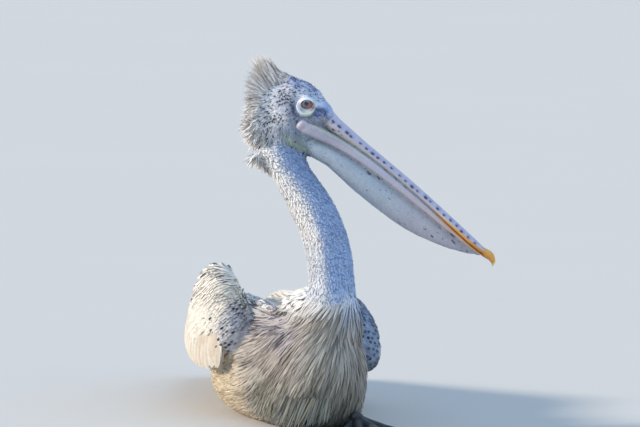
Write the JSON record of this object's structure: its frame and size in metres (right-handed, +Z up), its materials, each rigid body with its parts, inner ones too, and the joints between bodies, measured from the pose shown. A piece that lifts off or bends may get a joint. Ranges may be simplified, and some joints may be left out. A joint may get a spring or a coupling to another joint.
{
  "type": "spot-billed pelican",
  "caption": "Life-size still pelican resting on its belly with the neck raised and the long bill turned to its left.",
  "frame": {"origin": "on the floor under the middle of the bird's bounding box", "axes": "+Z up; the bird's body faces -Y with its tail toward +Y; its own left side, to which the bill points, is +X"},
  "size_m": [0.3878, 0.734, 0.5485],
  "materials": {
    "pale_plumage": "short pale grey feathers with small dark flecks",
    "crest_plumage": "loose bristly grey-brown feathers",
    "body_plumage": "long narrow cream-grey feathers",
    "wing_plumage": "rounded cream feathers with dark shaft streaks",
    "quill": "long grey-brown flight feathers with pale edges",
    "bill_horn": "smooth lavender-grey horn with blue-black spots",
    "ramus_horn": "smooth lilac-grey horn",
    "nail_horn": "polished orange-yellow horn",
    "pouch_skin": "soft blue-grey skin with fine folds and dark dashes",
    "foot_skin": "scaly dark slate skin",
    "claw": "dull dark horn",
    "eye": "wet clear surface over a grey iris"
  },
  "bodies": {
    "root": {"bill_upper": "bill_horn", "bill_nail": "nail_horn", "bill_lower": "ramus_horn", "pouch": "pouch_skin", "eye_right": "eye", "eye_left": "eye", "head": "pale_plumage", "crest": "crest_plumage", "trunk": "body_plumage", "neck_lower": "pale_plumage", "neck_middle": "pale_plumage", "neck_upper": "pale_plumage", "tail": "pale_plumage", "wing_right": "wing_plumage", "quills_right": "quill", "wing_left": "wing_plumage", "quills_left": "quill", "claw_outer_right": "claw", "claw_middle_right": "claw", "claw_inner_right": "claw", "claw_hind_right": "claw", "foot_right": "foot_skin", "leg_right": "foot_skin", "claw_outer_left": "claw", "claw_middle_left": "claw", "claw_inner_left": "claw", "claw_hind_left": "claw", "foot_left": "foot_skin", "leg_left": "foot_skin"}
  },
  "joints": []
}
